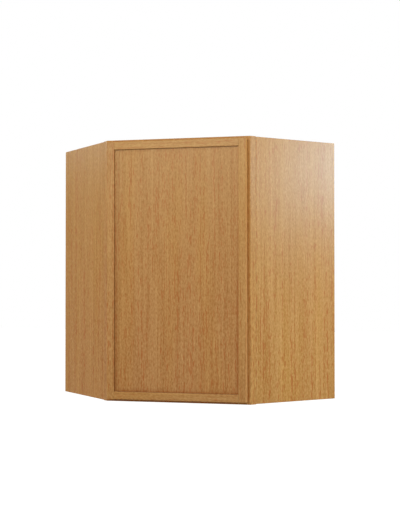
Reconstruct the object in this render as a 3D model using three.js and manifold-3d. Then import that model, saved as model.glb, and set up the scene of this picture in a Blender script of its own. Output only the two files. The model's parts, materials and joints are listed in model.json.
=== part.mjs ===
// Diagonal corner wall cabinet for a kitchen: a five-sided plywood box that fits a room corner, with a
// solid face frame across the front, one narrow-framed recessed-panel door on two concealed hinges,
// and two loose shelves on pins.
//
// Millimetres, +Z up. The door looks along -Y, the room corner lies at +Y, and the origin is the
// middle of the overall footprint, level with the underside of the face frame.
import * as THREE from "three";
import { mergeVertices } from "three/addons/utils/BufferGeometryUtils.js";
import Module from "manifold-3d";

const wasm = await Module();
wasm.setup();

/* ---------------------------------------------------------------- driving dimensions */

const inch = 25.4;

// The box
const cabinetHeight = 30 * inch;
const faceWidth = 16.875 * inch; // across the front, between the outer corners of the face frame
const sideDepth = 11.875 * inch; // from the wall to the front corner of the face frame
const sideThickness = 0.5 * inch;
const backThickness = 0.5 * inch;
const backRecess = 0.5 * inch; // from the wall to the back panels, where the hanging rails lie
const deckThickness = 0.5 * inch; // top and bottom panels
const deckInset = 24; // from the cabinet's end to the outer face of the top or bottom panel
const sideEndInset = 1; // the side panels stop this much short of the cabinet's ends
const housingDepth = 0.25 * inch; // grooves in the side panels
const hangingRailHeight = 3 * inch;

// The face frame
const frameThickness = 0.75 * inch;
const frameStileWidth = 1.5 * inch;
const frameRailWidth = 1.5 * inch;
const cheekDepth = 0.75 * inch; // mitred outer cheek of a stile, in line with the side panel
const cheekProud = 0.4; // the cheek stands this much outside the side panel
const tenonLength = 10;
const tenonThickness = 0.25 * inch;
const tenonShoulder = 6; // from the rail's edges to its tenon

// The door
const doorOverlay = 30.1; // the door covers this much of the face frame, from the opening's edges
const doorGap = 3; // from the face frame to the back of the door, held by the bumpers
const doorThickness = 20;
const doorStileWidth = 22;
const doorRailWidth = 22;
const doorPanelRecess = 0.25 * inch; // the centre panel is set back this much, flush at the rear
const tongueThickness = 6;
const tongueLength = 8;
const tongueSetback = 4; // from the back of the door to the tongue
const easedEdge = 1; // chamfer along the door's outer edges
const bumperRadius = 4.5;
const bumperInset = 12; // from the door's edges to the middle of a bumper

// The shelves
const shelfCount = 2;
const shelfThickness = 0.625 * inch;
const shelfSideGap = 2;
const shelfSetback = 22; // from the back of the face frame to the shelf's front edge
const pinHolePitch = 32;
const pinHoleMargin = 6 * inch; // no pin holes nearer than this to the cabinet's ends
const pinRadius = 2.45;
const pinHoleDepth = 9;
const pinCollarRadius = 3.8;
const pinCollarThickness = 1.2;
const pinSpoonLength = 8;
const pinSpoonWidth = 7;
const pinSpoonThickness = 2;
const sidePinFromWall = 75; // rear column of holes in a side panel
const sidePinFromFront = 60; // front column, from the panel's front edge
const backPinFromCorner = 130; // column in a back panel, from the other wall

// The hinges
const hingeFromDoorEnd = 3.5 * inch;
const hingeTab = 3; // from the door's edge to the rim of the cup
const cupRadius = 17.5;
const cupFloor = 1;
const cupFlangeThickness = 1.2;
const cupFlangeRadius = 18.3;
const pinToDoorEdge = 7.5;
const pinBelowBack = 8.1; // from the door's rear face to the hinge pin
const hingePinRadius = 1.2;
const hingePinLength = 19;
const eyeRadius = 2.1;
const armThickness = 2;
const armWidth = 12;
const armDrop = 0.25; // the arm leaves its eye this much below the pin, so the door can pass 90 degrees
const armFloorGap = 0.35; // from the arm to the cup's floor
const armSlotGap = 1.75; // from the arm to the inner end of the cup's slot
const armReach = 17; // from the front of the face frame to the end of the arm
const plateThickness = 1.6;
const plateHalfHeight = 26;
const plateWrap = 12; // behind the face frame
const plateSetback = 1; // from the front of the face frame
const plateScrewOffset = 18;
const cupScrewOffset = 22.5;
const cupScrewInset = 9.5; // from the cup's middle towards the middle of the door
const cupWingHalfWidth = 6;
const cupWingHalfHeight = 27;
const screwRadius = 1.7;
const screwHeadRadius = 3.4;
const screwHeadHeight = 0.9;
const cupScrewLength = 10;
const plateScrewLength = 15;

// Fits
const glueGap = 0.3; // between pieces that are glued or screwed face to face
const runningGap = 0.5; // between pieces that move past each other
const pinGap = 0.15; // round a pin or screw in its hole
const roundSides = 32;
const smallRoundSides = 12;

/* ---------------------------------------------------------------- derived places */

const diagonal = Math.SQRT1_2;
const wallRun = sideDepth + faceWidth * diagonal; // along each wall, from the room corner
const halfFace = faceWidth / 2;
const cornerY = (wallRun + sideDepth) * diagonal; // room corner, measured from the face frame's front
const frontY = -(doorGap + doorThickness);
const middleY = (frontY + cornerY) / 2;

const sideOuter = wallRun - cheekProud;
const sideInner = sideOuter - sideThickness;
const sideFront = sideDepth - cheekDepth - glueGap; // front edge of a side panel, from the wall
const backInner = backRecess + backThickness;
const openingHalf = halfFace - frameStileWidth;

const doorWidth = 2 * (openingHalf + doorOverlay);
const doorHeight = cabinetHeight - 2 * (frameRailWidth - doorOverlay);
const doorLeft = -doorWidth / 2;
const doorBottom = frameRailWidth - doorOverlay;
const hingeX = doorLeft + pinToDoorEdge;
const hingeY = -doorGap - pinBelowBack;
const hingeHeights = {
  lower: doorBottom + hingeFromDoorEnd,
  upper: doorBottom + doorHeight - hingeFromDoorEnd,
};
// The cup's middle and the arm's outer leg, measured from the hinge pin
const cupMiddle = hingeTab + cupRadius - pinToDoorEdge;
const cupSlotFloor = -armDrop - armThickness - armFloorGap;
const cupDepth = pinBelowBack + cupFloor - cupSlotFloor;
const plateFace = -openingHalf + glueGap + plateThickness - hingeX;
const armLegInner = plateFace + glueGap;
const armLegOuter = armLegInner + armThickness;
const frameFront = doorGap + pinBelowBack; // front of the face frame, measured from the pin
const flangeTop = pinBelowBack + glueGap + cupFlangeThickness;

/* ---------------------------------------------------------------- finishes */

const finish = (color, roughness, metalness = 0) =>
  new THREE.MeshStandardMaterial({ color, roughness, metalness });
const oak = finish(0xb98c58, 0.45);
const plywood = finish(0xd8bd92, 0.6);
const steel = finish(0xb9bcc0, 0.35, 0.9);
const rubber = finish(0xe6e6e2, 0.7);

/* ---------------------------------------------------------------- solid tools */

/** A closed three.js geometry as a solid that can be cut and joined. */
function solid(geometry) {
  const bare = new THREE.BufferGeometry();
  bare.setAttribute("position", geometry.getAttribute("position"));
  if (geometry.index) bare.setIndex(geometry.index);
  const merged = mergeVertices(bare, 1e-4);
  return new wasm.Manifold(
    new wasm.Mesh({
      numProp: 3,
      vertProperties: merged.getAttribute("position").array,
      triVerts: new Uint32Array(merged.index.array),
    }),
  );
}

/** A named mesh of a solid. */
function piece(name, body, material) {
  const { numProp, vertProperties, triVerts } = body.getMesh();
  const points = new Float32Array((vertProperties.length / numProp) * 3);
  for (let i = 0; i * numProp < vertProperties.length; i++) {
    points.set(vertProperties.subarray(i * numProp, i * numProp + 3), i * 3);
  }
  const geometry = new THREE.BufferGeometry();
  geometry.setAttribute("position", new THREE.BufferAttribute(points, 3));
  geometry.setIndex(new THREE.BufferAttribute(new Uint32Array(triVerts), 1));
  geometry.computeVertexNormals();
  const mesh = new THREE.Mesh(geometry, material);
  mesh.name = name;
  return mesh;
}

/** A box between two limits on each axis, in either order. */
function block([x0, x1], [y0, y1], [z0, z1]) {
  const geometry = new THREE.BoxGeometry(Math.abs(x1 - x0), Math.abs(y1 - y0), Math.abs(z1 - z0));
  return solid(geometry.translate((x0 + x1) / 2, (y0 + y1) / 2, (z0 + z1) / 2));
}

/** A plan outline, [x, y] points counter-clockwise, carried up from one height to another. */
function prism(outline, [z0, z1]) {
  const shape = new THREE.Shape(outline.map(([x, y]) => new THREE.Vector2(x, y)));
  const geometry = new THREE.ExtrudeGeometry(shape, { depth: z1 - z0, bevelEnabled: false });
  return solid(geometry.translate(0, 0, z0));
}

/** A cylinder along axis "x", "y" or "z" between two places on that axis, through (a, b) on the others. */
function rod(axis, [from, to], [a, b], radius, sides = smallRoundSides) {
  const geometry = new THREE.CylinderGeometry(radius, radius, Math.abs(to - from), sides);
  const middle = (from + to) / 2;
  if (axis === "x") return solid(geometry.rotateZ(Math.PI / 2).translate(middle, a, b));
  if (axis === "y") return solid(geometry.translate(a, middle, b));
  return solid(geometry.rotateX(Math.PI / 2).translate(a, b, middle));
}

const cut = (body, tools) => tools.reduce((left, tool) => left.subtract(tool), body);
const join = (bodies) => bodies.reduce((all, body) => all.add(body));

/* ---------------------------------------------------------------- the two wings of the box */

// A wing is what stands against one wall. Inside its group x runs along the wall away from the room
// corner, and the distance from the wall into the room is y times the wing's hand.
const wings = [
  { side: "left", hand: 1, turn: -0.75 * Math.PI, cornerStart: 0 },
  { side: "right", hand: -1, turn: -0.25 * Math.PI, cornerStart: 1 },
];

/** The wing's group, with its own origin in the room corner. */
function wingGroup({ turn }) {
  const group = new THREE.Group();
  group.position.set(0, cornerY, 0);
  group.rotation.z = turn;
  return group;
}

/** Limits across the room in a wing's own y. */
const fromWall = (hand, near, far) => [hand * near, hand * far];

const deckLevels = {
  bottom: [deckInset, deckInset + deckThickness],
  top: [cabinetHeight - deckInset - deckThickness, cabinetHeight - deckInset],
};
const sidePinColumns = { rear: sidePinFromWall, front: sideFront - sidePinFromFront };

// The rows of pin holes lie as far from one end of the cabinet as from the other
const pinSteps = Math.floor((cabinetHeight - 2 * pinHoleMargin) / pinHolePitch);
const firstPinHole = (cabinetHeight - pinSteps * pinHolePitch) / 2;
const pinRows = Array.from({ length: pinSteps + 1 }, (_, row) => firstPinHole + row * pinHolePitch);

// Each shelf lies on the row that comes nearest to sharing the inside out evenly
const shelfOnPin = pinRadius + glueGap; // from a pin's middle to the underside of its shelf
const clearHeight =
  (deckLevels.top[0] - deckLevels.bottom[1] - shelfCount * shelfThickness) / (shelfCount + 1);

function shelfPinHeight(order) {
  const underside = deckLevels.bottom[1] + (order + 1) * clearHeight + order * shelfThickness;
  const row = Math.round((underside - shelfOnPin - firstPinHole) / pinHolePitch);
  return firstPinHole + row * pinHolePitch;
}

const shelfPinHeights = { lower: shelfPinHeight(0), upper: shelfPinHeight(1) };

/** Side panel: housed for the back, top and bottom panels, and bored for shelf pins. */
function sidePanel({ side, hand }) {
  const housed = [sideInner - 1, sideInner + housingDepth];
  const tools = [
    block(housed, fromWall(hand, backRecess - glueGap, backInner + glueGap), [0, cabinetHeight]),
  ];
  for (const [low, high] of Object.values(deckLevels)) {
    tools.push(
      block(housed, fromWall(hand, backRecess, sideDepth), [low - glueGap, high + glueGap]),
    );
  }
  for (const column of Object.values(sidePinColumns)) {
    for (const height of pinRows) {
      const hole = [sideInner - 1, sideInner + pinHoleDepth];
      tools.push(rod("x", hole, [hand * column, height], pinRadius + 2 * pinGap));
    }
  }
  const heights = [sideEndInset, cabinetHeight - sideEndInset];
  const panel = block([sideInner, sideOuter], fromWall(hand, 0, sideFront), heights);
  return piece(`${side}_side_panel`, cut(panel, tools), oak);
}

/** Back panel: the left one runs into the corner and the right one butts against it. */
function backPanel({ side, hand, cornerStart }) {
  const start = cornerStart ? backInner + glueGap : backRecess;
  const end = sideInner + housingDepth - glueGap;
  const panel = block([start, end], fromWall(hand, backRecess, backInner), [0, cabinetHeight]);
  const tools = pinRows.map((height) =>
    rod(
      "y",
      fromWall(hand, backInner - pinHoleDepth, backInner + 1),
      [backPinFromCorner, height],
      pinRadius + 2 * pinGap,
    ),
  );
  return piece(`${side}_back_panel`, cut(panel, tools), plywood);
}

/** Two hanging rails behind the back panel, which take the screws into the wall. */
function hangingRails({ side, hand, cornerStart }) {
  const along = [cornerStart ? backRecess + glueGap : 0, sideInner - glueGap];
  const across = fromWall(hand, 0, backRecess - glueGap);
  const levels = {
    top: [cabinetHeight - hangingRailHeight, cabinetHeight],
    bottom: [0, hangingRailHeight],
  };
  return Object.entries(levels).map(([level, heights]) =>
    piece(`${side}_${level}_hanging_rail`, block(along, across, heights), plywood),
  );
}

/** Shelf pin along +x from its panel's face: stem, collar and the spoon that carries the shelf. */
function shelfPin(name) {
  const collarEnd = glueGap + pinCollarThickness;
  const stem = rod("x", [glueGap - pinHoleDepth, collarEnd], [0, 0], pinRadius);
  const collar = rod("x", [glueGap, collarEnd], [0, 0], pinCollarRadius);
  const spoon = block(
    [glueGap, collarEnd + pinSpoonLength],
    [-pinSpoonWidth / 2, pinSpoonWidth / 2],
    [pinRadius - pinSpoonThickness, pinRadius],
  );
  return piece(name, join([stem, collar, spoon]), steel);
}

/** The three pins of one wing that carry one shelf. */
function shelfPins({ side, hand }, shelf, height) {
  const pins = Object.entries(sidePinColumns).map(([place, column]) => {
    const pin = shelfPin(`${shelf}_shelf_pin_${side}_${place}`);
    pin.position.set(sideInner, hand * column, height);
    pin.rotation.z = Math.PI;
    return pin;
  });
  const corner = shelfPin(`${shelf}_shelf_pin_${side}_corner`);
  corner.position.set(backPinFromCorner, hand * backInner, height);
  corner.rotation.z = (hand * Math.PI) / 2;
  return [...pins, corner];
}

/* ---------------------------------------------------------------- five-sided boards */

/**
 * Plan of a board that fills the box: front edge at y = front, side edges at a distance along the
 * walls and rear edges at a distance from the walls.
 */
function fiveSided(front, alongWalls, offWalls) {
  const place = (along, off) => [diagonal * (along - off), cornerY - diagonal * (along + off)];
  const [frontX] = place(alongWalls, (cornerY - front) / diagonal - alongWalls);
  const [rearX, rearY] = place(alongWalls, offWalls);
  const [, cornerTip] = place(offWalls, offWalls);
  return [
    [-frontX, front],
    [frontX, front],
    [rearX, rearY],
    [0, cornerTip],
    [-rearX, rearY],
  ];
}

/** Top or bottom panel, let into the side panels and butted to the backs and the face frame. */
function deck(name, heights) {
  const outline = fiveSided(
    frameThickness + glueGap,
    sideInner + housingDepth - glueGap,
    backInner + glueGap,
  );
  return piece(name, prism(outline, heights), plywood);
}

/** Loose shelf, lying on its six pins. */
function shelf(level, pinHeight) {
  const outline = fiveSided(
    frameThickness + shelfSetback,
    sideInner - shelfSideGap,
    backInner + shelfSideGap,
  );
  const low = pinHeight + shelfOnPin;
  return piece(`${level}_shelf`, prism(outline, [low, low + shelfThickness]), plywood);
}

/* ---------------------------------------------------------------- face frame */

const railTenonHeights = ([low, high], gap = 0) => [low + tenonShoulder - gap, high - tenonShoulder + gap];
const frameRailLevels = {
  bottom: [0, frameRailWidth],
  top: [cabinetHeight - frameRailWidth, cabinetHeight],
};
const frameTenonAcross = (gap = 0) => [
  (frameThickness - tenonThickness) / 2 - gap,
  (frameThickness + tenonThickness) / 2 + gap,
];

/** Stile: mitred outside in line with the side panel, whose edge meets its shoulder. */
function frameStile(side, hand) {
  const cheek = cheekDepth * diagonal;
  const shoulder = halfFace + 2 * cheek - frameThickness;
  const outline = [
    [openingHalf, 0],
    [halfFace, 0],
    [halfFace + cheek, cheek],
    [shoulder, frameThickness],
    [openingHalf, frameThickness],
  ].map(([x, y]) => [hand * x, y]);
  if (hand < 0) outline.reverse();
  const mortises = Object.values(frameRailLevels).map((level) =>
    block(
      [hand * (openingHalf - 1), hand * (openingHalf + tenonLength + glueGap)],
      frameTenonAcross(glueGap),
      railTenonHeights(level, glueGap),
    ),
  );
  const tools = hand < 0 ? [...mortises, ...plateScrewHoles()] : mortises;
  return piece(`frame_${side}_stile`, cut(prism(outline, [0, cabinetHeight]), tools), oak);
}

/** Rail between the stiles, with a tenon at each end. */
function frameRail(level, heights) {
  const reach = openingHalf - glueGap;
  const bar = block([-reach, reach], [0, frameThickness], heights);
  const tenonReach = openingHalf + tenonLength - glueGap;
  const tenon = block([-tenonReach, tenonReach], frameTenonAcross(), railTenonHeights(heights));
  return piece(`frame_${level}_rail`, join([bar, tenon]), oak);
}

/** Holes in the hinge stile's inner edge for the screws of both hinge plates. */
function plateScrewHoles() {
  return Object.values(hingeHeights).flatMap((height) =>
    [-plateScrewOffset, plateScrewOffset].map((offset) =>
      rod(
        "x",
        [-openingHalf - plateScrewLength, -openingHalf + 1],
        [frameThickness / 2, height + offset],
        screwRadius + pinGap,
      ),
    ),
  );
}

/* ---------------------------------------------------------------- door */

// The door is drawn in its own frame: x from its hinge edge, y = 0 at its rear face and negative
// towards the room, z from its lower end.
const tongueAcross = (gap = 0) => [-tongueSetback + gap, -tongueSetback - tongueThickness - gap];

/** Bores in the door for both hinge cups and their screws. */
function hingeBores() {
  const middle = hingeTab + cupRadius;
  return Object.values(hingeHeights).flatMap((height) => {
    const level = height - doorBottom;
    const cup = rod("y", [-cupDepth - pinGap, 1], [middle, level], cupRadius + glueGap, roundSides);
    const screws = [-cupScrewOffset, cupScrewOffset].map((offset) =>
      rod("y", [-cupScrewLength, 1], [middle + cupScrewInset, level + offset], screwRadius + pinGap),
    );
    return [cup, ...screws];
  });
}

/** Cross-section of a door member: width from 0 at the outer edge, thickness into -y, outer edges eased. */
function memberSection(width) {
  return [
    [0, -doorThickness + easedEdge],
    [easedEdge, -doorThickness],
    [width, -doorThickness],
    [width, 0],
    [easedEdge, 0],
    [0, -easedEdge],
  ];
}

/** Upright member with a groove in its inner edge for the panel and the rails. */
function doorStile(name, mirrored) {
  const groove = block(
    [doorStileWidth - tongueLength - glueGap, doorStileWidth + 1],
    tongueAcross(glueGap),
    [-1, doorHeight + 1],
  );
  let stile = prism(memberSection(doorStileWidth), [0, doorHeight]).subtract(groove);
  if (mirrored) stile = stile.mirror([1, 0, 0]).translate([doorWidth, 0, 0]);
  return piece(name, cut(stile, mirrored ? [] : hingeBores()), oak);
}

/** Cross member between the stiles: grooved for the panel, with a tongue at each end. */
function doorRail(name, atTop) {
  const from = doorStileWidth + glueGap;
  const to = doorWidth - from;
  const groove = block(
    [0, doorWidth],
    tongueAcross(glueGap),
    [doorRailWidth - tongueLength - glueGap, doorRailWidth + 1],
  );
  // The section is drawn across x, then stood up so that its width runs up z and its length along x.
  const upright = prism(memberSection(doorRailWidth), [from, to]).rotate([0, -90, 0]).mirror([1, 0, 0]);
  const tongue = block(
    [doorStileWidth - tongueLength, doorWidth - doorStileWidth + tongueLength],
    tongueAcross(),
    [easedEdge, doorRailWidth - tongueLength - glueGap],
  );
  let rail = join([upright.subtract(groove), tongue]);
  if (atTop) rail = rail.mirror([0, 0, 1]).translate([0, 0, doorHeight]);
  return piece(name, rail, oak);
}

/** Centre panel: flush with the rear of the frame, set back in front, tongued on all four edges. */
function doorPanel() {
  const field = block(
    [doorStileWidth + glueGap, doorWidth - doorStileWidth - glueGap],
    [0, doorPanelRecess - doorThickness],
    [doorRailWidth + glueGap, doorHeight - doorRailWidth - glueGap],
  );
  const tongue = block(
    [doorStileWidth - tongueLength, doorWidth - doorStileWidth + tongueLength],
    tongueAcross(),
    [doorRailWidth - tongueLength, doorHeight - doorRailWidth + tongueLength],
  );
  return piece("door_centre_panel", cut(join([field, tongue]), hingeBores()), oak);
}

/** Soft disc on the rear of the door that lands on the face frame. */
function bumper(level, height) {
  const disc = rod(
    "y",
    [glueGap, doorGap - runningGap],
    [doorWidth - bumperInset, height],
    bumperRadius,
    roundSides / 2,
  );
  return piece(`door_${level}_bumper`, disc, rubber);
}

/** Everything that swings with the door except the hinge cups. */
function door() {
  const group = new THREE.Group();
  group.position.set(doorLeft, -doorGap, doorBottom);
  group.add(
    doorStile("door_hinge_stile", false),
    doorStile("door_latch_stile", true),
    doorRail("door_bottom_rail", false),
    doorRail("door_top_rail", true),
    doorPanel(),
    bumper("lower", bumperInset),
    bumper("upper", doorHeight - bumperInset),
  );
  return group;
}

/* ---------------------------------------------------------------- hinges */

// A hinge is drawn round its pin: x towards the middle of the door, y towards the room corner.

/** Cast cup let into the door: a slot for the arm, a flange with two wings, and bores for the pin. */
function hingeCup(level) {
  const heightRange = [-cupWingHalfHeight, cupWingHalfHeight];
  const wingMiddle = cupMiddle + cupScrewInset;
  const flangeRange = [pinBelowBack + glueGap, flangeTop];
  const body = rod("y", [pinBelowBack - cupDepth, flangeTop], [cupMiddle, 0], cupRadius, roundSides);
  const rim = rod("y", flangeRange, [cupMiddle, 0], cupFlangeRadius, roundSides);
  const ears = block(
    [wingMiddle - cupWingHalfWidth, wingMiddle + cupWingHalfWidth],
    flangeRange,
    heightRange,
  );
  const slot = block(
    [-eyeRadius - runningGap, armLegOuter + armSlotGap],
    [cupSlotFloor, flangeTop + 1],
    [-armWidth / 2 - runningGap, armWidth / 2 + runningGap],
  );
  const pinBore = rod("z", heightRange, [0, 0], hingePinRadius + pinGap);
  const screwHoles = [-cupScrewOffset, cupScrewOffset].map((offset) =>
    rod("y", [pinBelowBack, flangeTop + 1], [wingMiddle, offset], screwRadius + pinGap),
  );
  const cup = cut(join([body, rim, ears]), [slot, pinBore, ...screwHoles]);
  return piece(`${level}_hinge_cup`, cup, steel);
}

/** Gooseneck arm: from its eye in the cup, out past the stile's inner edge, and back along the plate. */
function hingeArm(level) {
  const heights = [-armWidth / 2, armWidth / 2];
  const under = -armDrop - armThickness;
  const eye = rod("z", heights, [0, 0], eyeRadius, roundSides / 2);
  const neck = block([0, armLegOuter], [under, -armDrop], heights);
  const leg = block([armLegInner, armLegOuter], [under, frameFront + armReach], heights);
  const pinBore = rod("z", [-armWidth, armWidth], [0, 0], hingePinRadius + pinGap);
  const screwHole = rod(
    "x",
    [armLegInner - 1, armLegOuter + 1],
    [frameFront + frameThickness / 2, 0],
    screwRadius + pinGap,
  );
  return piece(`${level}_hinge_arm`, cut(join([eye, neck, leg]), [pinBore, screwHole]), steel);
}

/** Mounting plate: lies on the stile's inner edge and wraps behind the face frame. */
function hingePlate(level) {
  const heights = [-plateHalfHeight, plateHalfHeight];
  const back = frameFront + frameThickness + glueGap;
  const face = block(
    [plateFace - plateThickness, plateFace],
    [frameFront + plateSetback, back + plateThickness],
    heights,
  );
  const wrap = block([plateFace - plateWrap, plateFace], [back, back + plateThickness], heights);
  const screwHoles = [-plateScrewOffset, 0, plateScrewOffset].map((offset) =>
    rod(
      "x",
      [plateFace - plateThickness - 1, plateFace + 1],
      [frameFront + frameThickness / 2, offset],
      screwRadius + pinGap,
    ),
  );
  return piece(`${level}_hinge_plate`, cut(join([face, wrap]), screwHoles), steel);
}

/** Screw along +y with its head's seat at the origin. */
function screw(name, length) {
  const shank = rod("y", [-length, screwHeadHeight], [0, 0], screwRadius);
  const head = rod("y", [0, screwHeadHeight], [0, 0], screwHeadRadius, roundSides / 2);
  return piece(name, join([shank, head]), steel);
}

/** The screws of one hinge: two in the door, two in the stile and one that clamps the arm. */
function hingeScrews(level) {
  const places = { lower: -1, upper: 1 };
  const screws = [];
  for (const [place, way] of Object.entries(places)) {
    const inDoor = screw(`${level}_hinge_${place}_cup_screw`, cupScrewLength);
    inDoor.position.set(cupMiddle + cupScrewInset, flangeTop + pinGap, way * cupScrewOffset);
    const inFrame = screw(`${level}_hinge_${place}_plate_screw`, plateScrewLength);
    inFrame.position.set(plateFace + pinGap, frameFront + frameThickness / 2, way * plateScrewOffset);
    inFrame.rotation.z = -Math.PI / 2;
    screws.push(inDoor, inFrame);
  }
  const clamp = screw(`${level}_hinge_arm_screw`, armThickness + glueGap + plateThickness);
  clamp.position.set(armLegOuter + pinGap, frameFront + frameThickness / 2, 0);
  clamp.rotation.z = -Math.PI / 2;
  return [...screws, clamp];
}

/** One complete concealed hinge at its height. */
function hinge(level, height) {
  const group = new THREE.Group();
  group.position.set(hingeX, hingeY, height);
  const pinEnds = [-hingePinLength / 2, hingePinLength / 2];
  group.add(
    hingeCup(level),
    hingeArm(level),
    hingePlate(level),
    piece(`${level}_hinge_pin`, rod("z", pinEnds, [0, 0], hingePinRadius), steel),
    ...hingeScrews(level),
  );
  return group;
}

/* ---------------------------------------------------------------- assembly */

const cabinet = new THREE.Group();
cabinet.name = "corner_wall_cabinet";
cabinet.position.y = -middleY;

for (const wing of wings) {
  const group = wingGroup(wing);
  group.add(
    sidePanel(wing),
    backPanel(wing),
    ...hangingRails(wing),
  );
  for (const [level, height] of Object.entries(shelfPinHeights)) {
    group.add(...shelfPins(wing, level, height));
  }
  cabinet.add(group);
}
for (const [level, heights] of Object.entries(deckLevels)) {
  cabinet.add(deck(`${level}_panel`, heights));
}
for (const [level, height] of Object.entries(shelfPinHeights)) {
  cabinet.add(shelf(level, height));
}
cabinet.add(frameStile("left", -1), frameStile("right", 1));
for (const [level, heights] of Object.entries(frameRailLevels)) {
  cabinet.add(frameRail(level, heights));
}
cabinet.add(door());
for (const [level, height] of Object.entries(hingeHeights)) {
  cabinet.add(hinge(level, height));
}

export default cabinet;
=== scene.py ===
"""Looks of a diagonal corner wall cabinet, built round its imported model.

Metres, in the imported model's own frame: +X to the right, +Y from the door towards the room corner, +Z up.
Every wooden board is made again as a prism with eased edges, bored and housed where the solid is, and
carries its own grain coordinates. The hinges, pins and screws get their small roundings and recesses.
"""

import json
import logging
import math
from collections.abc import Iterator, Sequence
from contextlib import contextmanager
from dataclasses import dataclass, field
from enum import Enum, StrEnum
from functools import reduce

import bmesh
import bpy
import numpy as np
from mathutils import Matrix, Vector
from mathutils.geometry import convex_hull_2d

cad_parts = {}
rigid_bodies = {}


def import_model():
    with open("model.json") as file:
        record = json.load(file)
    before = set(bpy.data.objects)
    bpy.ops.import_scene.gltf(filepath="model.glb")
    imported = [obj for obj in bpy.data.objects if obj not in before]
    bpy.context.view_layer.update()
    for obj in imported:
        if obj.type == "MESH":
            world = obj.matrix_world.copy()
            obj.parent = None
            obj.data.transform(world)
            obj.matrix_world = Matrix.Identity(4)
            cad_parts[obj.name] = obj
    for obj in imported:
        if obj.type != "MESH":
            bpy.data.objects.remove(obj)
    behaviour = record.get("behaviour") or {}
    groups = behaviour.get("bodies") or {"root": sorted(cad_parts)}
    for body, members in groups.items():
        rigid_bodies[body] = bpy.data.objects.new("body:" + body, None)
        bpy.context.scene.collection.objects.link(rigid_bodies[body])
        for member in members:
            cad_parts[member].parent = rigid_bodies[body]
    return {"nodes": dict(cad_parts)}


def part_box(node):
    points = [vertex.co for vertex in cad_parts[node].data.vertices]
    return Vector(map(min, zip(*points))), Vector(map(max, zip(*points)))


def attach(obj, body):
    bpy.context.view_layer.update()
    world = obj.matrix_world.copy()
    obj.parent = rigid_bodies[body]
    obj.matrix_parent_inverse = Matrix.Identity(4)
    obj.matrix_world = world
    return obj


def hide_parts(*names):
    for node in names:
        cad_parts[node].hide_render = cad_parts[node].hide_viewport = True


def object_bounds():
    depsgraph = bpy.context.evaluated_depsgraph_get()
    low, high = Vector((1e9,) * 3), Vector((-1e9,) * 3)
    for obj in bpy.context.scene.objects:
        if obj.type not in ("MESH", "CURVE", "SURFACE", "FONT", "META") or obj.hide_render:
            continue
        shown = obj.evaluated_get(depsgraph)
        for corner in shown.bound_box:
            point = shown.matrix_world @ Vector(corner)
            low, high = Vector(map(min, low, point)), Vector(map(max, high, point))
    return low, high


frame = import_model()
cad_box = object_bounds()

log = logging.getLogger("corner_cabinet")

MM = 0.001
DIAGONAL = math.sqrt(0.5)
QUARTER_TURN = math.pi / 2

Point = tuple[float, float, float]
Colour = tuple[float, float, float, float]
Material = bpy.types.Material
Mesh = bpy.types.Mesh
Socket = bpy.types.NodeSocket
World = bpy.types.World

WHITE: Colour = (1.0, 1.0, 1.0, 1.0)


def srgb(hexcode: str) -> Colour:
    """Gives the linear colour of a screen colour.

    Args:
        hexcode: Six hexadecimal digits, red, green and blue.

    Returns:
        Linear red, green and blue with an alpha of 1.
    """
    shown = np.array([int(hexcode[i : i + 2], 16) for i in (0, 2, 4)]) / 255
    linear = np.where(shown <= 0.04045, shown / 12.92, ((shown + 0.055) / 1.055) ** 2.4)
    return (*map(float, linear), 1.0)


# ------------------------------ choices


class Body(Enum):
    """What a piece rides on."""

    CABINET = "cabinet"
    DOOR = "door"


class Slot(Enum):
    """The record's material slots."""

    FRAME_OAK = "frame_oak"
    DOOR_OAK = "door_oak"
    SIDE_OAK = "side_oak"
    BOX_PLYWOOD = "box_plywood"
    SHELF_PLYWOOD = "shelf_plywood"
    STEEL = "zinc_steel"
    BUMPER = "bumper_rubber"


class Joinery(Enum):
    """What a shape does to the board that it is worked into."""

    ADD = "UNION"
    CUT = "DIFFERENCE"


class Level(StrEnum):
    """The two hinges, shelves and bumpers, and the screws above and below each hinge's middle."""

    LOWER = "lower"
    UPPER = "upper"


class End(StrEnum):
    """The rails and panels that close the cabinet's height."""

    TOP = "top"
    BOTTOM = "bottom"


class Pin(StrEnum):
    """Where under a shelf a pin stands on one side of the cabinet."""

    REAR = "rear"
    FRONT = "front"
    CORNER = "corner"


class Wing(StrEnum):
    """The two walls that the cabinet stands against."""

    LEFT = "left"
    RIGHT = "right"

    @property
    def sign(self) -> int:
        """The sign of X on this side."""
        return -1 if self is Wing.LEFT else 1

    @property
    def along(self) -> Point:
        """Direction along the wall, away from the room corner."""
        return (self.sign * DIAGONAL, -DIAGONAL, 0.0)

    @property
    def off(self) -> Point:
        """Direction from the wall into the room."""
        return (-self.sign * DIAGONAL, -DIAGONAL, 0.0)


@dataclass(frozen=True)
class Dress:
    """What a finished piece rides on, the record's slot that its finish comes from, and its material."""

    body: Body
    slot: Slot
    material: Material


HINGE_STILE, LATCH_STILE = "door_hinge_stile", "door_latch_stile"
DOOR_BOARDS = (HINGE_STILE, LATCH_STILE, "door_top_rail", "door_bottom_rail", "door_centre_panel")

# Every board, in the order in which they are cut from the wood
BOARDS = (
    *(f"{wing}_{kind}" for kind in ("side_panel", "back_panel") for wing in Wing),
    *(f"{wing}_{end}_hanging_rail" for end in End for wing in Wing),
    *(f"{end}_panel" for end in End),
    *(f"{level}_shelf" for level in Level),
    *(f"frame_{wing}_stile" for wing in Wing),
    *(f"frame_{end}_rail" for end in End),
    *DOOR_BOARDS,
)


# ------------------------------ geometry


@dataclass(frozen=True)
class Basis:
    """Three unit directions that a shape or a grain is laid out in."""

    first: Point
    second: Point
    third: Point

    def into(self, points: np.ndarray) -> np.ndarray:
        """Turns points of the model's frame into this basis."""
        return points @ np.array([self.first, self.second, self.third]).T

    def out_of(self, points: np.ndarray) -> np.ndarray:
        """Turns points of this basis into the model's frame."""
        return points @ np.array([self.first, self.second, self.third])


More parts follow.
